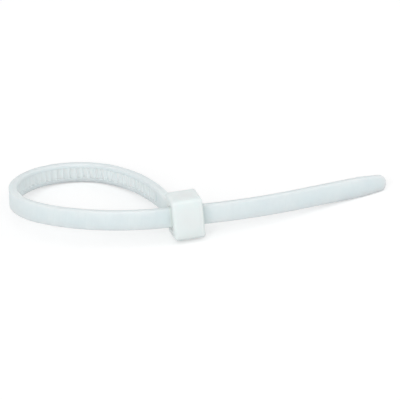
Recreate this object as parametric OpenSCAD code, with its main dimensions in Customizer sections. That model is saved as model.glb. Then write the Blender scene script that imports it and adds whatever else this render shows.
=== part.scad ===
// Miniature cable tie, one moulding, closed into a loop and lying as it comes to rest.
// It is drawn with the slot of the head along X, the strap's width along Z and the root leaving the
// head towards +Y. From there the strap turns left through 270 degrees, enters the slot at the head's
// entry face, X = 0, and leaves it as the tail, towards +X. laid() then sets it on the ground.

/* [Tie] */
// Overall length when laid straight, from the end wall of the head to the tip
tie_len = 100; // [94:1:120]
// Developed length of the loop, from the root to the entry face
girth = 65; // [60:0.5:72]

/* [Strap] */
// Width of the strap
strap_w = 2.5; // [2.2:0.1:3]
// Thickness over the side rails
strap_t = 1.05; // [0.9:0.05:1.2]
// Chamfer along the strap's four long edges
strap_edge = 0.14; // [0.06:0.01:0.2]

/* [Rack] */
// Pitch of the rack teeth along the strap
tooth_pitch = 0.9; // [0.8:0.05:1.05]
// Depth of the teeth below the side rails
tooth_depth = 0.4; // [0.3:0.05:0.5]
// Width of the rack between the side rails
rack_w = 1.5; // [1.3:0.1:1.7]
// Flat land on the crest of each tooth
tooth_land = 0.14; // [0.1:0.01:0.18]
// Flat floor between two teeth
tooth_floor = 0.12; // [0.08:0.01:0.2]
// Draft of each tooth's steep flank, from floor to crest
tooth_draft = 0.06; // [0.02:0.01:0.1]
// Smooth stretch of strap between the head and the first tooth
rack_from = 6; // [3:0.5:12]

/* [Head] */
// Length of the slot, from the entry face to the exit face
head_t = 4; // [3.8:0.1:4.4]
// Wall between the slot and the free end of the head
end_wall = 1.5; // [1:0.05:1.8]
// Wall between the pawl chamber and the root
root_wall = 0.84; // [0.7:0.02:1.2]
// Wall on each side of the slot, across the strap
side_wall = 1.24; // [1:0.02:1.4]
// Rounding of the head's outer edges
head_round = 0.42; // [0.2:0.02:0.6]
// Clearance between strap and slot on each face of the strap
slot_clear = 0.1; // [0.06:0.01:0.16]
// Clearance between strap and slot on each edge of the strap, beyond what the lean needs
slot_play = 0.06; // [0.04:0.01:0.12]
// Lead-in chamfer of the slot at the entry face
lead_in = 0.3; // [0.1:0.05:0.4]
// How far the head leans on the strap, in degrees
head_lean = 3; // [0:0.5:4]

/* [Pawl] */
// Wall between the entry face and the pawl chamber, where the hinge stands
hinge_wall = 0.75; // [0.6:0.05:0.9]
// Depth of the pawl chamber behind the slot
chamber_d = 1.33; // [1.25:0.02:1.5]
// Width of the pawl
pawl_w = 1.9; // [1.7:0.1:2.1]
// Gap on each side of the pawl
pawl_gap = 0.18; // [0.12:0.02:0.3]
// Gap behind the pawl that it bends into
pawl_back = 0.24; // [0.16:0.02:0.4]
// Distance of the pawl's first tooth from the entry face
pawl_at = 1.5; // [1.4:0.05:1.7]
// Thickness of the living hinge
hinge_t = 0.42; // [0.3:0.02:0.5]
// Clearance between the pawl's teeth and the rack
mesh_clear = 0.07; // [0.05:0.01:0.09]

/* [Root] */
// Distance of the root's centre plane from the entry face
root_in = 0.68; // [0.66:0.01:0.9]
// Length of the straight neck of the strap at the head, which is flared into the head
neck_l = 0.6; // [0.4:0.1:1]
// How far the flare stands out from the strap at the head
neck_flare = 0.35; // [0.2:0.05:0.45]

/* [Tail] */
// Radius of the tail's gentle bend past the head
tail_r = 45; // [30:1:60]
// Length of the stretch with gripping ribs, before the tip
grip_l = 9; // [5:0.5:11]
// Pitch of the gripping ribs
grip_pitch = 1.1; // [0.9:0.1:1.5]
// Width of the pockets between the gripping ribs
grip_gap = 0.68; // [0.5:0.02:0.8]
// Depth of the pockets between the gripping ribs
grip_depth = 0.2; // [0.1:0.05:0.3]
// Length of the tapered tip
tip_l = 3.6; // [2:0.2:5]
// Width of the strap at the end of the taper
tip_w = 1.9; // [1.5:0.1:2.1]
// Thickness of the strap at the end of the taper
tip_t = 0.75; // [0.5:0.05:0.85]
// Radius of the rounded end of the tip
tip_r = 1.15; // [1.1:0.05:1.6]

/* [Hidden] */
NYLON = [0.89, 0.92, 0.91];

// Headings of the strap at the ends of the loop's bends. They are unit vectors with short decimals,
// so that two bends meet in one exact face. The loop turns left from +Y round to +X.
HEADING = [[0, 1], [-0.28, 0.96], [-0.6, 0.8], [-1, 0], [-0.8, -0.6], [0, -1], [0.6, -0.8],
           [0.96, -0.28], [1, 0]];
TAIL_DIR = [0.96, 0.28];
// Proportions of the radii of the bends between the first and the last, tightest at the far end
SHAPE = [19, 7.5, 6.4, 10.4, 11.4, 19];
// Straight stretch of strap before the slot
RUN_IN = 0.5;
BENDS = len(HEADING) - 1;

function round_to(x, n) = round(x*pow(10, n))/pow(10, n);
function exact(p) = [for (x = p) round_to(x, 4)];
function left(h) = [-h[1], h[0]];
function cross2(a, b) = a[0]*b[1] - a[1]*b[0];
function sum(v, i = 0) = i < len(v) ? v[i] + sum(v, i + 1) : v[0]*0;
function turn(a, b) = acos(a*b)*PI/180;
// Turn of bend k in radians, and the displacement along it for a radius of 1
function bend_turn(k) = turn(HEADING[k], HEADING[k + 1]);
function bend_step(k) = left(HEADING[k]) - left(HEADING[k + 1]);

// Head, measured from the strap's centre line in the slot
slot_h = strap_t + 2*slot_clear;
slot_w = strap_w + 2*slot_play + head_t*sin(head_lean);
y_end = -slot_h/2 - end_wall;
y_chamber = slot_h/2 + chamber_d;
y_root = y_chamber + root_wall;
head_w = slot_w + 2*side_wall;

// Radii: the first and the last close the loop between root and slot, the others follow the girth
mid = [for (k = [1 : BENDS - 2]) k];
mid_step = sum([for (k = mid) SHAPE[k - 1]*bend_step(k)]);
mid_len = sum([for (k = mid) SHAPE[k - 1]*bend_turn(k)]);
s0 = bend_step(0);
s1 = bend_step(BENDS - 1);
to_close = [-RUN_IN - root_in, -y_root - neck_l];
ends_fixed = [cross2(to_close, s1), cross2(s0, to_close)]/cross2(s0, s1);
ends_shape = -[cross2(mid_step, s1), cross2(s0, mid_step)]/cross2(s0, s1);
ends_turn = [bend_turn(0), bend_turn(BENDS - 1)];
loop_k = (girth - neck_l - RUN_IN - ends_fixed*ends_turn)/(mid_len + ends_shape*ends_turn);
ends = ends_fixed + loop_k*ends_shape;
R = [for (r = concat([ends[0]], loop_k*SHAPE, [ends[1]])) round_to(r, 2)];

// Where the bends of the loop begin, its two straights, and the tail: one bend and a straight
travel = sum([for (k = [0 : BENDS - 1]) R[k]*bend_step(k)]);
function loop_joint(k) = k == 0 ? [root_in, -travel[1]] : loop_joint(k - 1) + R[k - 1]*bend_step(k - 1);
neck = -travel[1] - y_root;
run = -travel[0] - root_in;
loop_len = neck + run + sum([for (k = [0 : BENDS - 1]) R[k]*bend_turn(k)]);
tail_bend = tail_r*turn([1, 0], TAIL_DIR);
tail_len = tie_len - (y_root - y_end) - loop_len - head_t;

// The strap's stretches from the root on, as [length, radius, heading at its start], radius 0 for a
// straight, and the points between them
STRETCH = concat([[neck, 0, HEADING[0]]], [for (k = [0 : BENDS - 1]) [R[k]*bend_turn(k), R[k], HEADING[k]]],
                 [[run + head_t, 0, [1, 0]], [tail_bend, tail_r, [1, 0]], [tail_len - tail_bend, 0, TAIL_DIR]]);
STRETCHES = len(STRETCH);
bend_out = [head_t, 0] + tail_r*(left([1, 0]) - left(TAIL_DIR));
past_tip = tail_len - tail_bend + 0.3;
JOINT = [for (p = concat([[root_in, y_root - root_wall/2]], [for (k = [0 : BENDS]) loop_joint(k)],
                         [[head_t, 0], bend_out, bend_out + past_tip*TAIL_DIR])) exact(p)];

// Place and heading [x, y, angle] at length s along the strap from the root wall, from stretch i on
function along(s, i = 0, p = [root_in, y_root, 90]) =
  let (l = min(s, STRETCH[i][0]), r = STRETCH[i][1], a = p[2], b = r == 0 ? a : a + l/r*180/PI,
       q = r == 0 ? [p[0] + l*cos(a), p[1] + l*sin(a), a]
                  : [p[0] + r*(sin(b) - sin(a)), p[1] - r*(cos(b) - cos(a)), b])
  s <= STRETCH[i][0] || i == STRETCHES - 1 ? q : along(s - l, i + 1, q);

// Rack: the gaps between its teeth, in step with the pawl's teeth at length pawl_s
gap_l = tooth_pitch - tooth_land;
slope_l = gap_l - tooth_floor - tooth_draft;
pawl_s = loop_len + pawl_at;
tip_s = loop_len + head_t + tail_len - tip_l;
first_gap = ceil((rack_from - pawl_s)/tooth_pitch);
last_gap = floor((tip_s - grip_l - gap_l - pawl_s)/tooth_pitch);

// Lying: three points touch the ground, the corner of the head's side, the loop's far end and the
// tail where its tip begins to taper
function on_edge(s, side) = let (p = along(s)) [p[0], p[1]] + side*(strap_t/2 - strap_edge)*left([cos(p[2]), sin(p[2])]);
function leaned(p) = let (x = p[0] - head_t/2)
  [head_t/2 + x*cos(head_lean) - p[2]*sin(head_lean), p[1], x*sin(head_lean) + p[2]*cos(head_lean)];
head_foot = leaned([head_round, y_root - head_round, -head_w/2]);
tail_foot = on_edge(tip_s, 1);
bearing = min([for (s = [loop_len*0.3 : 0.1 : loop_len*0.6]) let (d = on_edge(s, -1) - tail_foot) atan2(d[1], d[0])]);
lay_dir = bearing - 90;
lay_reach = (tail_foot - [head_foot[0], head_foot[1]])*[cos(lay_dir), sin(lay_dir)];
lay_tilt = atan((-strap_w/2 - head_foot[2])/lay_reach);

// The same turn for single points, and the box that they fill, whose foot is the origin
function about_z(p, a) = [p[0]*cos(a) - p[1]*sin(a), p[0]*sin(a) + p[1]*cos(a), p[2]];
function about_y(p, a) = [p[0]*cos(a) + p[2]*sin(a), p[1], p[2]*cos(a) - p[0]*sin(a)];
function tilted(p) = about_z(about_y(about_z(p, -lay_dir), lay_tilt), lay_dir);
shell = concat(
  [for (s = [0 : 0.25 : tip_s], c = [-1, 1], z = [-1, 1], e = [0, 1]) let (p = along(s),
     o = c*(strap_t/2 - e*strap_edge)*left([cos(p[2]), sin(p[2])]))
     tilted([p[0] + o[0], p[1] + o[1], z*(strap_w/2 - (1 - e)*strap_edge)])],
  [for (c = [-1, 1]) let (p = along(tip_s + tip_l)) tilted(concat([p[0], p[1]] + c*tip_t/2*left(TAIL_DIR), [0]))],
  [for (x = [0, head_t], y = [y_end, y_root], z = [-1, 1]) tilted(leaned([x, y, z*(head_w/2 - head_round)]))]);
box_x = [for (p = shell) p[0]];
box_y = [for (p = shell) p[1]];
foot = [(min(box_x) + max(box_x))/2, (min(box_y) + max(box_y))/2, tilted(head_foot)[2]];

module laid() {
  translate(-foot)
    rotate([0, 0, lay_dir])
      rotate([0, lay_tilt, 0])
        rotate([0, 0, -lay_dir])
          children();
}

// Puts its children at length s along the strap, with X along it and Y towards its inner face
module at(s) {
  p = along(s);
  translate([p[0], p[1], 0]) rotate([0, 0, p[2]]) children();
}

module section() {
  t = strap_t/2;
  w = strap_w/2;
  c = strap_edge;
  polygon([[-t, c - w], [c - t, -w], [t - c, -w], [t, c - w], [t, w - c], [t - c, w], [c - t, w], [-t, w - c]]);
}

// Stretch i of the strap: a ring or a bar, cut square where it meets its neighbours. It reaches a
// hair past each joint, so that two neighbours overlap.
module stretch(i) {
  hair = 1e-9;
  r = STRETCH[i][1];
  h = STRETCH[i][2];
  h2 = i == STRETCHES - 1 ? h : STRETCH[i + 1][2];
  intersection() {
    if (r == 0) {
      over = 2;
      translate([JOINT[i][0], JOINT[i][1], 0])
        rotate([0, 0, atan2(h[1], h[0])])
          translate([-over, 0, 0])
            rotate([90, 0, 90])
              linear_extrude(STRETCH[i][0] + 3*over) section();
    } else {
      c = exact(JOINT[i] + r*left(h));
      translate([c[0], c[1], 0]) rotate_extrude($fn = 240) translate([r, 0]) section();
    }
    linear_extrude(2*strap_w, center = true)
      polygon([exact(JOINT[i] + 3*left(h)) - hair*h, exact(JOINT[i] - 3*left(h)) - hair*h,
               exact(JOINT[i + 1] - 3*left(h2)) + hair*h2, exact(JOINT[i + 1] + 3*left(h2)) + hair*h2]);
  }
}

// What is cut between two teeth: a slope that faces the tip, a floor and a steep flank
module tooth_gap() {
  over = 0.15;
  a = over*slope_l/tooth_depth;
  b = over*tooth_draft/tooth_depth;
  translate([-gap_l/2, strap_t/2, 0])
    linear_extrude(rack_w, center = true)
      polygon([[-a, over], [slope_l, -tooth_depth], [slope_l + tooth_floor, -tooth_depth], [gap_l + b, over]]);
}

module grip_pocket() {
  over = 0.1;
  l = grip_gap/2;
  translate([0, strap_t/2, 0])
    linear_extrude(rack_w, center = true)
      polygon([[-l - over/2, over], [grip_depth/2 - l, -grip_depth], [l - grip_depth/2, -grip_depth], [l + over/2, over]]);
}

// What tapers the tip in width and in thickness and rounds its end
module tip_cut() {
  over = 0.5;
  far = tip_l + over;
  w_slope = (strap_w - tip_w)/2/tip_l;
  t_from = 0.3*tip_l;
  t_slope = (strap_t - tip_t)/2/(tip_l - t_from);
  at(tip_s) {
    for (m = [0, 1]) {
      mirror([0, 0, m])
        rotate([90, 0, 0])
          linear_extrude(2*strap_t, center = true)
            polygon([[-over, strap_w/2 + over*w_slope], [far, strap_w/2 - far*w_slope], [far, strap_w],
                     [-over, strap_w]]);
      mirror([0, m, 0])
        linear_extrude(2*strap_w, center = true)
          polygon([[t_from - over, strap_t/2 + over*t_slope], [far, strap_t/2 - (far - t_from)*t_slope],
                   [far, strap_t], [t_from - over, strap_t]]);
    }
    difference() {
      translate([tip_l - tip_r, -strap_t, -strap_w]) cube([2*tip_r, 2*strap_t, 2*strap_w]);
      translate([tip_l - tip_r, 0, 0]) rotate([90, 0, 0]) cylinder(r = tip_r, h = 3*strap_t, center = true, $fn = 96);
    }
  }
}

module strap() {
  difference() {
    union() for (i = [0 : STRETCHES - 1]) stretch(i);
    for (k = [first_gap : last_gap]) at(pawl_s + k*tooth_pitch + gap_l/2) tooth_gap();
    for (s = [grip_gap : grip_pitch : grip_l - grip_gap]) at(tip_s - s) grip_pocket();
    tip_cut();
  }
}

// Flare of the neck into the head, over both edges of the strap and its outer face
module neck_flares() {
  in = 0.6*strap_edge;
  y0 = y_root - root_wall/2;
  y1 = y_root + neck_l;
  x = root_in + strap_t/2;
  z = strap_w/2;
  intersection() {
    linear_extrude(2*strap_w, center = true)
      polygon([[x - strap_t + in, y0], [x + neck_flare, y0], [x + neck_flare, y_root], [x - in, y1],
               [x - strap_t + in, y1]]);
    translate([root_in, 0, 0])
      rotate([90, 0, 90])
        linear_extrude(2*strap_t, center = true)
          polygon([[y0, -z - neck_flare], [y_root, -z - neck_flare], [y1, in - z], [y1, z - in],
                   [y_root, z + neck_flare], [y0, z + neck_flare]]);
  }
}

// Rectangle from [x0, y0] to [x1, y1] with corners rounded in four short facets
module soft_rect(x0, y0, x1, y1) {
  r = head_round;
  polygon([for (c = [[x1 - r, y1 - r, 0], [x0 + r, y1 - r, 90], [x0 + r, y0 + r, 180], [x1 - r, y0 + r, 270]],
                i = [0 : 4]) [c[0], c[1]] + r*[cos(c[2] + i*22.5), sin(c[2] + i*22.5)]]);
}

module head_block() {
  big = 4*head_w;
  intersection() {
    linear_extrude(big, center = true) soft_rect(0, y_end, head_t, y_root);
    rotate([90, 0, 90]) linear_extrude(big, center = true) soft_rect(y_end, -head_w/2, y_root, head_w/2);
    rotate([90, 0, 0]) linear_extrude(big, center = true) soft_rect(0, -head_w/2, head_t, head_w/2);
  }
}

// The slot, with lead-in chamfers towards the end wall and across the strap
module slot() {
  e = 1;
  translate([-e, -slot_h/2, -slot_w/2]) cube([head_t + 2*e, slot_h, slot_w]);
  linear_extrude(slot_w, center = true)
    polygon([[-e, -slot_h/2 - lead_in - e], [lead_in, -slot_h/2], [lead_in, 0], [-e, 0]]);
  for (m = [0, 1])
    mirror([0, 0, m])
      rotate([90, 0, 0])
        linear_extrude(slot_h, center = true)
          polygon([[-e, 0], [lead_in, 0], [lead_in, slot_w/2], [-e, slot_w/2 + lead_in + e]]);
}

// The pawl's chamber is open towards the slot and at the exit face
module chamber() {
  w = pawl_w + 2*pawl_gap;
  translate([hinge_wall, 0, -w/2]) cube([head_t, y_chamber, w]);
}

// The pawl leans from its hinge at the entry end of the chamber towards the rack
module pawl() {
  face = strap_t/2 + mesh_clear;
  back = y_chamber - pawl_back;
  root = back - 0.06;
  end = pawl_at + 2*tooth_pitch;
  tip = mesh_clear/2 - tooth_depth;
  translate([0, 0, -pawl_w/2])
    linear_extrude(pawl_w)
      polygon([[hinge_wall - 0.2, root], [hinge_wall - 0.2, root - hinge_t], [hinge_wall + 0.25, root - hinge_t],
               [pawl_at - 0.12, face], [end - 0.05, face], [end + 0.03, face + 0.08], [end + 0.03, face + 0.45],
               [end - 0.3, back - 0.2], [hinge_wall + 0.9, back]]);
  for (k = [0, 1])
    translate([pawl_at + k*tooth_pitch, strap_t/2, 0])
      linear_extrude(rack_w - 4*mesh_clear, center = true)
        polygon([[0.02, mesh_clear + 0.1], [0.02, mesh_clear], [slope_l + 0.02, tip],
                 [slope_l + tooth_floor - mesh_clear, tip], [slope_l + tooth_floor + tooth_draft - mesh_clear, mesh_clear],
                 [slope_l + tooth_floor, mesh_clear + 0.1]]);
}

module head() {
  translate([head_t/2, 0, 0])
    rotate([0, -head_lean, 0])
      translate([-head_t/2, 0, 0]) {
        difference() {
          head_block();
          slot();
          chamber();
        }
        pawl();
      }
}

module cable_tie() {
  color(NYLON)
    laid() {
      strap();
      neck_flares();
      head();
    }
}

cable_tie();
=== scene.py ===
import math
from types import SimpleNamespace

import bmesh
import bpy
from mathutils import Matrix, Vector


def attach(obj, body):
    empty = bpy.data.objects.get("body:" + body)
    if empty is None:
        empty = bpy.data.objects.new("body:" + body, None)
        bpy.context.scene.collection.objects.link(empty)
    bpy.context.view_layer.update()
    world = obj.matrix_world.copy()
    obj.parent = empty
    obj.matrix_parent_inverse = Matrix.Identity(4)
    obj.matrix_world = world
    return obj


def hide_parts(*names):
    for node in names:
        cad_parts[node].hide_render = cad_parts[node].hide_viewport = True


bl_info = {
    "name": "Cable tie",
    "version": (1, 0, 0),
    "blender": (4, 5, 0),
    "location": "View3D > Sidebar > Cable tie",
    "description": "Moulds a nylon cable tie, closed into a loop, over its packed solid",
    "category": "Object",
}

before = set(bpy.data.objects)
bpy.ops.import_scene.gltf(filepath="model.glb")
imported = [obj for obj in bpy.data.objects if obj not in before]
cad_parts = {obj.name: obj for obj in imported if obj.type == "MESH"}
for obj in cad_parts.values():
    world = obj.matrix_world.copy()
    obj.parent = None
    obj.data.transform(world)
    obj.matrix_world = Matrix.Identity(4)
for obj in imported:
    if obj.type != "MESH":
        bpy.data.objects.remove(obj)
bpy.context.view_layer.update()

# The meshes are drawn in millimetres with the slot along X, the strap's width along Z and the root
# leaving the head towards +Y, and are then laid as the solid lies, in metres.
MM = 0.001
LAY_DIRECTION = math.radians(60.0084)
LAY_TILT = math.radians(5.729)
FOOT = Vector((5.45845, 11.0766, -2.9534))

# Bends of the loop from the root round to the slot, as (radius in mm, turn in degrees)
LOOP = ((41.04, 16.2602), (18.9, 20.6097), (7.46, 53.1301), (6.37, 36.8699), (10.35, 53.1301),
        (11.34, 36.8699), (18.9, 36.8699), (18.99, 16.2602))
NECK = 0.6034
RUN_IN = 0.5024
# The tail's one bend past the head
TAIL_BEND = (45.0, 16.2602)

# Small forms of the strap in mm: the cut of the corners between the teeth, the slope at the side of
# the rack, half the width of the parting line and the rounding of the tip's end
TOOTH_CORNER = 0.06
RACK_SIDE = 0.04
SEAM = 0.03
TIP_ROUND = 0.2
# The tip gets thinner after this share of its length
TIP_FULL = 0.3
# Painted light under a crest, as a share of that under a floor, where the web is thinnest
CREST_PAINTED_LIGHT = 0.45
# Edges sharper than this stay crisp
CRISP = math.radians(32)
# Two points along the strap are at least this far apart, in mm
APART = 0.002


def length(name, description, default):
    """A length setting, in metres."""
    return bpy.props.FloatProperty(name=name, description=description, default=default, precision=5,
                                   unit="LENGTH")


def colour(name, description, default):
    """A colour setting, linear."""
    return bpy.props.FloatVectorProperty(name=name, description=description, default=default,
                                         subtype="COLOR", size=3, min=0, max=1)


class StrapSettings(bpy.types.PropertyGroup):
    """Sizes of the strap, its rack and its tail."""

    tie: length("Tie", "Overall length when laid straight", 0.1)
    width: length("Width", "Width of the strap", 0.0025)
    thickness: length("Thickness", "Thickness over the side rails", 0.00105)
    edge: length("Edge radius", "Rounding of the strap's four long edges", 0.00014)
    rack: length("Rack width", "Width of the rack between the side rails", 0.0015)
    pitch: length("Tooth pitch", "Pitch of the teeth along the strap", 0.0009)
    depth: length("Tooth depth", "Depth of the teeth below the side rails", 0.0004)
    land: length("Tooth land", "Flat crest of each tooth", 0.00014)
    floor: length("Tooth floor", "Flat floor between two teeth", 0.00012)
    draft: length("Tooth draft", "Draft of each tooth's steep flank", 0.00006)
    smooth: length("Smooth stretch", "Strap without teeth next to the head", 0.006)
    flare: length("Neck flare", "How far the neck's fillet stands out at the head", 0.00035)
    parting: length("Parting line", "Height of the mould's parting line on the edges", 0.000012)
    grip: length("Grip", "Length of the ribbed grip before the tip", 0.009)
    grip_pitch: length("Grip pitch", "Pitch of the gripping ribs", 0.0011)
    grip_gap: length("Grip gap", "Width of the pockets between the ribs", 0.00068)
    grip_depth: length("Grip depth", "Depth of the pockets between the ribs", 0.0002)
    tip: length("Tip", "Length of the tapered tip", 0.0036)
    tip_width: length("Tip width", "Width at the end of the taper", 0.0019)
    tip_thickness: length("Tip thickness", "Thickness at the end of the taper", 0.00075)
    nose: length("Nose radius", "Radius of the rounded end of the tip", 0.00115)


class HeadSettings(bpy.types.PropertyGroup):
    """Sizes of the head, its slot and its pawl."""

    depth: length("Slot length", "From the entry face to the exit face", 0.004)
    end_wall: length("End wall", "Wall between the slot and the free end", 0.0015)
    root_wall: length("Root wall", "Wall between the pawl's chamber and the root", 0.00084)
    side_wall: length("Side wall", "Wall on each side of the slot", 0.00124)
    edge: length("Edge radius", "Rounding of the outer edges", 0.00042)
    clear: length("Clearance", "Clearance on each face of the strap", 0.0001)
    play: length("Play", "Clearance on each edge of the strap", 0.00006)
    lead_in: length("Lead-in", "Chamfer of the slot at the entry face", 0.0003)
    root_in: length("Root inset", "Centre of the root from the entry face", 0.00068)
    chamber: length("Chamber depth", "Depth of the pawl's chamber behind the slot", 0.00133)
    hinge_wall: length("Hinge wall", "Wall between the entry face and the chamber", 0.00075)
    hinge: length("Hinge", "Thickness of the living hinge", 0.00042)
    pawl: length("Pawl width", "Width of the pawl", 0.0019)
    pawl_gap: length("Pawl gap", "Gap on each side of the pawl", 0.00018)
    pawl_back: length("Pawl back gap", "Gap behind the pawl", 0.00024)
    pawl_at: length("Pawl place", "The pawl's first tooth from the entry face", 0.0015)
    mesh_clear: length("Mesh clearance", "Between the pawl's teeth and the rack", 0.00007)
    gate: length("Gate mark", "Radius of the round mark where the mould was filled", 0.0005)
    lean: bpy.props.FloatProperty(name="Lean", description="How far the head leans on the strap",
                                  default=math.radians(3), subtype="ANGLE")


class FinishSettings(bpy.types.PropertyGroup):
    """Colours and surface of natural nylon, as it is moulded, and a painted light on the thin web under
    the teeth.
    """

    strap: colour("Strap", "Colour where the nylon is thin", (0.715, 0.80, 0.828))
    haze: colour("Haze", "Colour of the milky clouds in the nylon", (0.755, 0.835, 0.855))
    head: colour("Head", "Colour where the nylon is thick", (0.855, 0.975, 0.93))
    # Painted light: a lighter colour on the thin web under the teeth stands in for light coming through
    # the nylon and lifts the shade in the rack's grooves
    painted_light_web: colour("Web", "Colour of the thin web under the teeth, where light comes through",
                (0.885, 0.985, 1.0))
    scatter: length("Scatter", "How far light travels inside the nylon", 0.0018)
    roughness: bpy.props.FloatProperty(name="Roughness", description="Roughness of the moulded skin",
                                       default=0.38, min=0, max=1, subtype="FACTOR")


class StageSettings(bpy.types.PropertyGroup):
    """Camera, lamps and floor."""

    azimuth: bpy.props.FloatProperty(name="Azimuth", description="Camera's direction round the tie",
                                     default=math.radians(-9.557), subtype="ANGLE")
    elevation: bpy.props.FloatProperty(name="Elevation", description="Camera's height over the floor",
                                       default=math.radians(22.626), subtype="ANGLE")
    roll: bpy.props.FloatProperty(name="Roll", description="Roll of the camera",
                                  default=math.radians(-4.957), subtype="ANGLE")
    lens: bpy.props.FloatProperty(name="Lens", description="Focal length in mm of the long lens",
                                  default=500)
    aim: bpy.props.FloatVectorProperty(name="Aim", description="Point in the middle of the picture",
                                       default=(-0.001469, -0.011021, 0.004673),
                                       subtype="TRANSLATION", size=3, precision=5)
    span: length("Span", "Width of the picture at that point", 0.05103)
    key: bpy.props.FloatProperty(name="Key lamp", description="Power of the lamp beside the camera",
                                 default=2.1, unit="POWER")
    fill: bpy.props.FloatProperty(name="Fill lamp", description="Power of the lamp at the right",
                                  default=0.7, unit="POWER")
    sky: bpy.props.FloatProperty(name="Room light", description="Strength of the light all round",
                                 default=0.7)


def in_mm(settings):
    """A group's settings, with each length in the meshes' millimetres."""
    kinds = settings.bl_rna.properties
    return SimpleNamespace(**{key: getattr(settings, key)/(MM if kinds[key].unit == "LENGTH" else 1)
                              for key in settings.__annotations__})


def head_box(strap, head):
    """Faces of the head and of its slot, measured from the strap's centre line."""
    slot_y = strap.thickness/2 + head.clear
    slot_z = strap.width/2 + head.play + head.depth*math.sin(head.lean)/2
    back = slot_y + head.chamber
    return SimpleNamespace(slot_y=slot_y, slot_z=slot_z, end=-slot_y - head.end_wall, back=back,
                           root=back + head.root_wall, side=slot_z + head.side_wall)


class Course:
    """Centre line of the strap, seen from above, by length from the head's root wall."""

    def __init__(self, x, y, stretches):
        self.stretches = []
        place, heading, start = (x, y), math.pi/2, 0.0
        for long, radius in stretches:
            self.stretches.append((start, radius, place, heading))
            place, heading = self.follow(place, heading, long, radius)
            start += long
        self.length = start

    @staticmethod
    def follow(place, heading, long, radius):
        """Place and heading after a stretch, straight where the radius is 0."""
        x, y = place
        if not radius:
            return (x + long*math.cos(heading), y + long*math.sin(heading)), heading
        end = heading + long/radius
        return (x + radius*(math.sin(end) - math.sin(heading)),
                y + radius*(math.cos(heading) - math.cos(end))), end

    def at(self, s):
        """Place and heading at length s."""
        start, radius, place, heading = self.stretches[0]
        for stretch in self.stretches:
            if stretch[0] <= s:
                start, radius, place, heading = stretch
        return self.follow(place, heading, s - start, radius)


def lay_course(strap, head):
    """The tie's course, and the lengths at which the slot, the tip and the end are reached."""
    box = head_box(strap, head)
    bends = [(radius*math.radians(turn), radius) for radius, turn in LOOP]
    slot_at = NECK + RUN_IN + sum(long for long, _ in bends)
    tail = strap.tie - (box.root - box.end) - slot_at - head.depth
    bend = TAIL_BEND[0]*math.radians(TAIL_BEND[1])
    past_loop = [(RUN_IN + head.depth, 0), (bend, TAIL_BEND[0]), (tail - bend, 0)]
    course = Course(head.root_in, box.root, [(NECK, 0)] + bends + past_loop)
    return course, slot_at, course.length - strap.tip, course.length


def soften(profile, cut):
    """The profile [(length, depth), ...] with each inner corner cut by two points."""
    out = [profile[0]]
    for before, corner, after in zip(profile, profile[1:], profile[2:]):
        for other in (before, after):
            span = math.dist(other, corner)
            share = min(cut/span, 0.4)
            out.append(tuple(c + share*(o - c) for c, o in zip(corner, other)))
    return out + [profile[-1]]


def rack_profile(strap, head, slot_at, tip_at, end_at):
    """Depth of the strap's inner face along its length: the teeth, then the pockets of the grip."""
    gap = strap.pitch - strap.land
    slope = gap - strap.floor - strap.draft
    pawl_at = slot_at + head.pawl_at
    first = math.ceil((strap.smooth - pawl_at)/strap.pitch)
    last = math.floor((tip_at - strap.grip - gap - pawl_at)/strap.pitch)
    profile = [(-head.root_wall/2, 0)]
    for k in range(first, last + 1):
        s = pawl_at + k*strap.pitch
        profile += [(s, 0), (s + slope, strap.depth), (s + slope + strap.floor, strap.depth),
                    (s + gap, 0)]
    half, deep = strap.grip_gap/2, strap.grip_depth
    pockets = int((strap.grip - 2*strap.grip_gap)/strap.grip_pitch + 1e-6)
    for k in range(pockets, -1, -1):
        s = tip_at - strap.grip_gap - k*strap.grip_pitch
        profile += [(s - half, 0), (s - half + deep/2, deep), (s + half - deep/2, deep), (s + half, 0)]
    return soften(profile + [(end_at, 0)], TOOTH_CORNER)


def girth_at(s, strap, tip_at, end_at):
    """Half width, outer face and inner face of the strap at length s: neck, plain strap or tip."""
    half, outer, inner = strap.width/2, -strap.thickness/2, strap.thickness/2
    if s < NECK:
        rise = strap.flare*(1 - math.sqrt(1 - min(1 - s/NECK, 1)**2)) if s > 0 else strap.flare
        return half + rise, outer - rise, inner
    if s > tip_at:
        u = s - tip_at
        half -= (strap.width - strap.tip_width)/2*u/strap.tip
        taper = max(u/strap.tip - TIP_FULL, 0)/(1 - TIP_FULL)
        thinner = taper*(strap.thickness - strap.tip_thickness)/2
        into_nose = s - (end_at - strap.nose)
        if into_nose > 0:
            half = min(half, math.sqrt(max(strap.nose**2 - into_nose**2, 0)))
        into_rim = (s - (end_at - TIP_ROUND))/TIP_ROUND
        if into_rim > 0:
            thinner += TIP_ROUND*(1 - math.sqrt(max(1 - into_rim**2, 0)))
        return half, outer + thinner, inner - thinner
    return half, outer, inner


def section(half, outer, inner, depth, strap):
    """Points (across the thickness, across the width) round the strap."""
    r = min(strap.edge, 0.45*half, 0.45*(inner - outer))
    middle = (outer + inner)/2
    steps = [math.radians(a) for a in (0, 30, 60, 90)]
    rail = min(strap.rack/2, 0.6*(half - r))
    side = [(outer + r*(1 - math.cos(a)), half - r*(1 - math.sin(a))) for a in steps]
    side += [(middle - SEAM, half), (middle, half + strap.parting), (middle + SEAM, half)]
    side += [(inner - r*(1 - math.cos(a)), half - r*(1 - math.sin(a))) for a in reversed(steps)]
    side += [(inner, rail + min(RACK_SIDE, 0.3*(half - r))), (inner - depth, rail)]
    return side + [(y, -z) for y, z in reversed(side)]


def loft(name, rings):
    """A closed mesh object through rings of as many points each, capped at both ends."""
    mesh = bmesh.new()
    loops = [[mesh.verts.new(point) for point in ring] for ring in rings]
    for a, b in zip(loops, loops[1:]):
        for i in range(len(a)):
            mesh.faces.new((a[i - 1], a[i], b[i], b[i - 1]))
    mesh.faces.new(loops[0])
    mesh.faces.new(reversed(loops[-1]))
    bmesh.ops.recalc_face_normals(mesh, faces=mesh.faces)
    return to_object(name, mesh)


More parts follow.
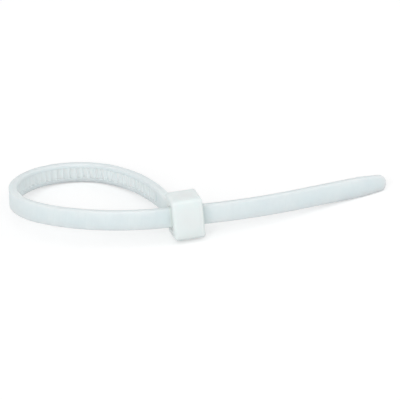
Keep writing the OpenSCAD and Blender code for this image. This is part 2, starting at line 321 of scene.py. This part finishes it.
def to_object(name, mesh):
    """A new object that holds the bmesh, which is freed."""
    data = bpy.data.meshes.new(name)
    mesh.to_mesh(data)
    mesh.free()
    piece = bpy.data.objects.new(name, data)
    bpy.context.scene.collection.objects.link(piece)
    return piece


def prism(name, outline, low, high, plane="XY", soft=0.0):
    """A prism over the outline in the XY or XZ plane, from low to high, its edges rounded by soft."""
    place = (lambda a, b, h: (a, b, h)) if plane == "XY" else (lambda a, b, h: (a, h, b))
    piece = loft(name, [[place(a, b, h) for a, b in outline] for h in (low, high)])
    if soft:
        mesh = bmesh.new()
        mesh.from_mesh(piece.data)
        bmesh.ops.bevel(mesh, geom=mesh.edges, offset=soft, segments=3, profile=0.5, affect="EDGES")
        mesh.to_mesh(piece.data)
        mesh.free()
    return piece


def block(name, low, high, soft, segments):
    """A box from low to high with rounded edges."""
    mesh = bmesh.new()
    bmesh.ops.create_cube(mesh, size=1)
    for vert in mesh.verts:
        vert.co = Vector([high[i] if vert.co[i] > 0 else low[i] for i in range(3)])
    bmesh.ops.bevel(mesh, geom=mesh.edges, offset=soft, segments=segments, profile=0.5, affect="EDGES")
    return to_object(name, mesh)


def disc(name, centre, radius, depth, taper=1.0):
    """A short round stud along Z, centred on a point."""
    mesh = bmesh.new()
    bmesh.ops.create_cone(mesh, cap_ends=True, segments=48, radius1=radius, radius2=radius*taper,
                          depth=depth, matrix=Matrix.Translation(centre))
    return to_object(name, mesh)


def combine(piece, tools, operation):
    """Joins the tools to the piece, or cuts them from it, and removes them."""
    for tool in tools:
        cut = piece.modifiers.new("combine", "BOOLEAN")
        cut.operation = operation
        cut.solver = "EXACT"
        cut.object = tool
    done = bpy.data.meshes.new_from_object(piece.evaluated_get(bpy.context.evaluated_depsgraph_get()))
    piece.modifiers.clear()
    piece.data = done
    for tool in tools:
        bpy.data.objects.remove(tool)
    if not done.polygons:
        raise RuntimeError(f"{piece.name} came out empty")
    return piece


def pawl(strap, head, box):
    """The toothed tongue on its hinge, and its two teeth in mesh with the rack."""
    gap = strap.pitch - strap.land
    slope = gap - strap.floor - strap.draft
    face = strap.thickness/2 + head.mesh_clear
    back = box.back - head.pawl_back
    end = head.pawl_at + 2*strap.pitch
    tip = head.mesh_clear/2 - strap.depth + strap.thickness/2
    # The hinge stands this far off the tongue's back, bites into its wall and ends this far from it
    off, bite, free = 0.06, 0.2, 0.25
    root = back - off
    # Round the tongue: hinge, run-up to the teeth, blunt end and sloping back
    tongue = [(head.hinge_wall - bite, root), (head.hinge_wall - bite, root - head.hinge),
              (head.hinge_wall + free, root - head.hinge), (head.pawl_at - 0.12, face),
              (end - 0.05, face), (end + 0.03, face + 0.08), (end + 0.03, face + 0.45),
              (end - 0.3, back - 0.2), (head.hinge_wall + 0.9, back)]
    tongue = prism("tongue", tongue, -head.pawl/2, head.pawl/2, soft=0.03)
    half = strap.rack/2 - 2*head.mesh_clear
    # Each tooth is rooted in the tongue and starts a hair behind the rack's
    rooted, behind = 0.1, 0.02
    teeth = []
    for k in (0, 1):
        x = head.pawl_at + k*strap.pitch
        outline = [(x + behind, face + rooted), (x + behind, face), (x + slope + behind, tip),
                   (x + slope + strap.floor - head.mesh_clear, tip),
                   (x + slope + strap.floor + strap.draft - head.mesh_clear, face),
                   (x + slope + strap.floor, face + rooted)]
        teeth.append(prism(f"tooth_{k}", outline, -half, half))
    return combine(tongue, teeth, "UNION")


class CABLETIE_OT_strap(bpy.types.Operator):
    """Draw the strap with its rack, its neck and its tail"""

    bl_idname = "cable_tie.strap"
    bl_label = "Strap"

    def execute(self, context):
        strap, head = in_mm(context.scene.tie_strap), in_mm(context.scene.tie_head)
        course, slot_at, tip_at, end_at = lay_course(strap, head)
        profile = rack_profile(strap, head, slot_at, tip_at, end_at)
        angles = [math.radians(a) for a in range(0, 91, 10)]
        stations = {NECK*(1 - math.cos(a)) for a in angles} | {tip_at, tip_at + TIP_FULL*strap.tip}
        stations |= {end_at - strap.nose*(1 - math.sin(math.radians(a))) for a in range(30, 90, 4)}
        stations |= {s for s, _ in profile} - {end_at} | {end_at - APART}
        points, last = [], None
        for s in sorted(stations):
            if last is not None and s - last < APART:
                continue
            fill = int((s - last)/0.4) if last is not None else 0
            points += [last + (s - last)*(i + 1)/(fill + 1) for i in range(fill)] + [s]
            last = s
        rack = [s for s, depth in profile if depth > strap.grip_depth]
        rings, painted_light_web, k = [], [], 0
        for s in points:
            while k < len(profile) - 2 and profile[k + 1][0] < s:
                k += 1
            (s0, d0), (s1, d1) = profile[k], profile[k + 1]
            depth = d0 + (d1 - d0)*min(max((s - s0)/(s1 - s0), 0), 1)
            (x, y), heading = course.at(s)
            half, outer, inner = girth_at(s, strap, tip_at, end_at)
            ring = [(x - across*math.sin(heading), y + across*math.cos(heading), z)
                    for across, z in section(half, outer, inner, depth, strap)]
            # Mask of the painted light: strongest over the floors between the teeth, weaker under the
            # crests
            thin = CREST_PAINTED_LIGHT + (1 - CREST_PAINTED_LIGHT)*depth/strap.depth if rack[0] <= s <= rack[-1] else 0.0
            floor = (len(ring)//2 - 1, len(ring)//2)
            painted_light_web += [thin if i in floor else 0.0 for i in range(len(ring))]
            rings.append(ring)
        piece = loft("strap", rings)
        # How thin the nylon is under the teeth, as the mask of the painted light that stands in for
        # light coming through it
        piece.data.attributes.new("painted_light_web", "FLOAT", "POINT").data.foreach_set("value", painted_light_web)
        return {"FINISHED"}


class CABLETIE_OT_head(bpy.types.Operator):
    """Draw the head with its slot, its pawl and the mark of the gate"""

    bl_idname = "cable_tie.head"
    bl_label = "Head"

    def execute(self, context):
        strap, head = in_mm(context.scene.tie_strap), in_mm(context.scene.tie_head)
        box = head_box(strap, head)
        piece = block("head", (0, box.end, -box.side), (head.depth, box.root, box.side), head.edge, 6)
        width = head.pawl/2 + head.pawl_gap
        # The cuts reach this far past the head
        over = 1.0
        before, after = -over, head.depth + over
        cuts = [prism("slot", [(before, -box.slot_y), (after, -box.slot_y), (after, box.slot_y),
                               (before, box.slot_y)], -box.slot_z, box.slot_z),
                prism("lead_in", [(before, -box.slot_y - head.lead_in - over),
                                  (head.lead_in, -box.slot_y), (head.lead_in, 0), (before, 0)],
                      -box.slot_z, box.slot_z),
                prism("lead_sides", [(before, -box.slot_z - head.lead_in - over),
                                     (head.lead_in, -box.slot_z), (head.lead_in, box.slot_z),
                                     (before, box.slot_z + head.lead_in + over)],
                      -box.slot_y, box.slot_y, plane="XZ"),
                prism("chamber", [(head.hinge_wall, 0), (after, 0), (after, box.back),
                                  (head.hinge_wall, box.back)], -width, width)]
        gate_x, gate_y = head.depth/2, (box.end + box.root)/2
        cuts.append(disc("gate", (gate_x, gate_y, -box.side), head.gate, 0.08))
        combine(piece, cuts, "DIFFERENCE")
        nub = disc("nub", (gate_x, gate_y, 0.03 - box.side), 0.5*head.gate, 0.05, 0.7)
        combine(piece, [pawl(strap, head, box), nub], "UNION")
        middle = Matrix.Translation((head.depth/2, 0, 0))
        piece.data.transform(middle @ Matrix.Rotation(-head.lean, 4, "Y") @ middle.inverted())
        return {"FINISHED"}


def add_node(tree, kind, inputs=None, **settings):
    """A new shader node of a kind, with its settings and then the values of its inputs."""
    node = tree.nodes.new("ShaderNode" + kind)
    for key, value in settings.items():
        setattr(node, key, value)
    for key, value in (inputs or {}).items():
        node.inputs[key].default_value = value
    return node


def moulded_nylon(finish, head_place, head_half):
    """Natural nylon: milky, whitest in the thick head, with painted light on the thin web under the
    teeth, and with the skin of a fine-grained mould.
    """
    material = bpy.data.materials.new("natural_nylon")
    material.use_nodes = True
    tree = material.node_tree
    link = tree.links.new
    skin = tree.nodes["Principled BSDF"]
    place = add_node(tree, "TexCoord")

    # Milky clouds, and painted light that makes the thin web under the teeth lighter, standing in for
    # light coming through and lifting the shade in its grooves
    clouds = add_node(tree, "TexNoise", {"Scale": 330, "Detail": 3})
    cloudy = add_node(tree, "MapRange", {"From Min": 0.35, "From Max": 0.68})
    thin = add_node(tree, "Mix", {"A": (*finish.strap, 1), "B": (*finish.haze, 1)}, data_type="RGBA")
    painted_light_web = add_node(tree, "Attribute", attribute_name="painted_light_web")
    lit = add_node(tree, "Mix", {"B": (*finish.painted_light_web, 1)}, data_type="RGBA")

    # The head, in its own axes with its faces at 1: whole in its core, fading along the root
    in_head = add_node(tree, "Mapping", {"Location": head_place.translation,
                                         "Rotation": head_place.to_euler(), "Scale": head_half},
                       vector_type="TEXTURE")
    unsigned = add_node(tree, "VectorMath", operation="ABSOLUTE")
    sides = add_node(tree, "SeparateXYZ")
    along = add_node(tree, "MapRange", {"From Min": 1.12, "From Max": 1.01})
    reach = add_node(tree, "VectorMath", operation="LENGTH")
    neck = add_node(tree, "MapRange", {"From Min": 4.1, "From Max": 1.6, "To Max": 0.4},
                    interpolation_type="SMOOTHSTEP")
    core = add_node(tree, "MapRange", {"From Min": 1.6, "From Max": 0.95},
                    interpolation_type="SMOOTHSTEP")
    thick = add_node(tree, "Math", operation="MULTIPLY")
    body = add_node(tree, "Mix", {"B": (*finish.head, 1)}, data_type="RGBA")

    # Fine grain of the mould, and the slow waves of a thin moulding
    grain = add_node(tree, "TexNoise", {"Scale": 5200, "Detail": 2})
    flow = add_node(tree, "TexNoise", {"Scale": 620, "Detail": 1})
    gloss = add_node(tree, "MapRange", {"To Min": finish.roughness - 0.08,
                                        "To Max": finish.roughness + 0.08})
    waves = add_node(tree, "Bump", {"Strength": 0.5, "Distance": 0.00006})
    relief = add_node(tree, "Bump", {"Strength": 0.5, "Distance": 0.00002})

    for texture in (clouds, grain, flow):
        link(place.outputs["Object"], texture.inputs["Vector"])
    link(place.outputs["Object"], in_head.inputs["Vector"])
    link(in_head.outputs["Vector"], unsigned.inputs[0])
    link(unsigned.outputs["Vector"], sides.inputs["Vector"])
    link(sides.outputs["X"], along.inputs["Value"])
    link(in_head.outputs["Vector"], reach.inputs[0])
    link(reach.outputs["Value"], core.inputs["Value"])
    link(reach.outputs["Value"], neck.inputs["Value"])
    link(neck.outputs["Result"], core.inputs["To Min"])
    link(along.outputs["Result"], thick.inputs[0])
    link(core.outputs["Result"], thick.inputs[1])
    link(clouds.outputs["Fac"], cloudy.inputs["Value"])
    link(cloudy.outputs["Result"], thin.inputs["Factor"])
    link(painted_light_web.outputs["Fac"], lit.inputs["Factor"])
    link(thin.outputs["Result"], lit.inputs["A"])
    link(lit.outputs["Result"], body.inputs["A"])
    link(thick.outputs["Value"], body.inputs["Factor"])
    link(body.outputs["Result"], skin.inputs["Base Color"])
    link(grain.outputs["Fac"], gloss.inputs["Value"])
    link(gloss.outputs["Result"], skin.inputs["Roughness"])
    link(flow.outputs["Fac"], waves.inputs["Height"])
    link(waves.outputs["Normal"], relief.inputs["Normal"])
    link(grain.outputs["Fac"], relief.inputs["Height"])
    link(relief.outputs["Normal"], skin.inputs["Normal"])
    skin.inputs["IOR"].default_value = 1.53
    skin.inputs["Subsurface Weight"].default_value = 1.0
    skin.inputs["Subsurface Radius"].default_value = (0.9, 1.0, 1.0)
    skin.inputs["Subsurface Scale"].default_value = finish.scatter
    return material


def shade(piece, limit):
    """Smooth faces, with the edges sharper than the limit kept crisp. Faces with many corners are
    split here, because a plain split of them leaves slivers along the cuts."""
    mesh = bmesh.new()
    mesh.from_mesh(piece.data)
    bmesh.ops.triangulate(mesh, faces=[face for face in mesh.faces if len(face.verts) > 4],
                          ngon_method="BEAUTY")
    for face in mesh.faces:
        face.smooth = True
    for edge in mesh.edges:
        edge.smooth = edge.calc_face_angle(0) < limit
    mesh.to_mesh(piece.data)
    mesh.free()
    even = piece.modifiers.new("even_shading", "WEIGHTED_NORMAL")
    even.keep_sharp = True


class CABLETIE_OT_mould(bpy.types.Operator):
    """Join the strap and the head into one moulding, lay it down and finish it in nylon"""

    bl_idname = "cable_tie.mould"
    bl_label = "Mould"

    def execute(self, context):
        piece = bpy.data.objects["strap"]
        combine(piece, [bpy.data.objects["head"]], "UNION")
        piece.name = piece.data.name = "moulding"
        strap, head = in_mm(context.scene.tie_strap), in_mm(context.scene.tie_head)
        box = head_box(strap, head)
        turn = Matrix.Rotation(LAY_DIRECTION, 4, "Z")
        lay = (Matrix.Scale(MM, 4) @ Matrix.Translation(-FOOT) @ turn @ Matrix.Rotation(LAY_TILT, 4, "Y")
               @ turn.inverted())
        piece.data.transform(lay)
        shade(piece, CRISP)
        piece.data.materials.clear()
        place = (lay @ Matrix.Translation((head.depth/2, (box.end + box.root)/2, 0))
                 @ Matrix.Rotation(-head.lean, 4, "Y"))
        half = MM*Vector((head.depth, box.root - box.end, 2*box.side))/2
        piece.data.materials.append(moulded_nylon(context.scene.tie_finish, place, half))
        for polygon in piece.data.polygons:
            polygon.material_index = 0
        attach(piece, "root")
        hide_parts("cable_tie")
        return {"FINISHED"}


def lamp(name, place, aim, power, size):
    """A square soft lamp at a place, aimed at a point."""
    light = bpy.data.lights.new(name, "AREA")
    light.energy = power
    light.size = size
    source = bpy.data.objects.new(name, light)
    source.location = place
    source.rotation_euler = (Vector(aim) - Vector(place)).to_track_quat("-Z", "Y").to_euler()
    bpy.context.scene.collection.objects.link(source)
    return source


def seen_white(tree, strength, seen):
    """A value that is strength for the light that falls on things, and seen where it shows itself."""
    path = add_node(tree, "LightPath")
    either = add_node(tree, "Math", operation="MAXIMUM")
    any_way = add_node(tree, "Math", operation="MAXIMUM")
    value = add_node(tree, "MapRange", {"To Min": strength, "To Max": seen})
    tree.links.new(path.outputs["Is Camera Ray"], either.inputs[0])
    tree.links.new(path.outputs["Is Glossy Ray"], either.inputs[1])
    tree.links.new(either.outputs["Value"], any_way.inputs[0])
    tree.links.new(path.outputs["Is Transmission Ray"], any_way.inputs[1])
    tree.links.new(any_way.outputs["Value"], value.inputs["Value"])
    return value.outputs["Result"]


class CABLETIE_OT_stage(bpy.types.Operator):
    """Set the camera, the floor, the lamps and the room's light"""

    bl_idname = "cable_tie.stage"
    bl_label = "Stage"

    def execute(self, context):
        scene, stage = context.scene, context.scene.tie_stage
        lens = bpy.data.cameras.new("camera")
        lens.lens = stage.lens
        lens.clip_start, lens.clip_end = 0.05, 10
        camera = bpy.data.objects.new("camera", lens)
        a, e = stage.azimuth, stage.elevation
        back = Vector((math.sin(a)*math.cos(e), -math.cos(a)*math.cos(e), math.sin(e)))
        camera.location = Vector(stage.aim) + back*stage.span*stage.lens/lens.sensor_width
        camera.rotation_mode = "QUATERNION"
        roll = Matrix.Rotation(stage.roll, 3, "Z").to_quaternion()
        camera.rotation_quaternion = (-back).to_track_quat("-Z", "Y") @ roll
        scene.collection.objects.link(camera)
        scene.camera = camera
        scene.view_settings.view_transform = "Standard"

        floor = block("floor", (-3, -3, -0.02), (3, 3, 0), 0.005, 2)
        paint = bpy.data.materials.new("white_floor")
        paint.use_nodes = True
        card = paint.node_tree.nodes["Principled BSDF"]
        card.inputs["Base Color"].default_value = (0.65, 0.65, 0.65, 1)
        card.inputs["Roughness"].default_value = 0.9
        card.inputs["Specular IOR Level"].default_value = 0.0
        card.inputs["Emission Color"].default_value = (1, 1, 1, 1)
        # The floor adds to what is seen of it, never to the light on the tie
        glow = seen_white(paint.node_tree, 0.0, 0.46)
        paint.node_tree.links.new(glow, card.inputs["Emission Strength"])
        floor.data.materials.append(paint)

        world = scene.world or bpy.data.worlds.new("room")
        scene.world = world
        world.use_nodes = True
        room = world.node_tree.nodes["Background"]
        room.inputs["Color"].default_value = (1, 1, 1, 1)
        light = seen_white(world.node_tree, stage.sky, 1.0)
        world.node_tree.links.new(light, room.inputs["Strength"])

        lamp("key_lamp", (-0.33, -0.62, 0.3), (0, 0, 0), stage.key, 0.45)
        lamp("fill_lamp", (0.66, -0.2, 0.28), (0, 0, 0), stage.fill, 0.45)
        return {"FINISHED"}


class CABLETIE_PT_panel(bpy.types.Panel):
    """Steps and sizes of the cable tie."""

    bl_idname = "CABLETIE_PT_panel"
    bl_label = "Cable tie"
    bl_space_type = "VIEW_3D"
    bl_region_type = "UI"
    bl_category = "Cable tie"

    def draw(self, context):
        for step in STEPS:
            self.layout.operator(step.bl_idname)
        for key in SETTINGS:
            group = getattr(context.scene, key)
            part = self.layout.box()
            for name in group.__annotations__:
                part.prop(group, name)


SETTINGS = {"tie_strap": StrapSettings, "tie_head": HeadSettings, "tie_finish": FinishSettings,
            "tie_stage": StageSettings}
STEPS = (CABLETIE_OT_stage, CABLETIE_OT_strap, CABLETIE_OT_head, CABLETIE_OT_mould)
CLASSES = (*SETTINGS.values(), *STEPS, CABLETIE_PT_panel)


def register():
    for part in CLASSES:
        bpy.utils.register_class(part)
    for key, group in SETTINGS.items():
        setattr(bpy.types.Scene, key, bpy.props.PointerProperty(type=group))


def unregister():
    for key in SETTINGS:
        delattr(bpy.types.Scene, key)
    for part in reversed(CLASSES):
        bpy.utils.unregister_class(part)


def main():
    register()
    bpy.ops.cable_tie.stage()
    bpy.ops.cable_tie.strap()
    bpy.ops.cable_tie.head()
    bpy.ops.cable_tie.mould()


if __name__ == "__main__":
    main()
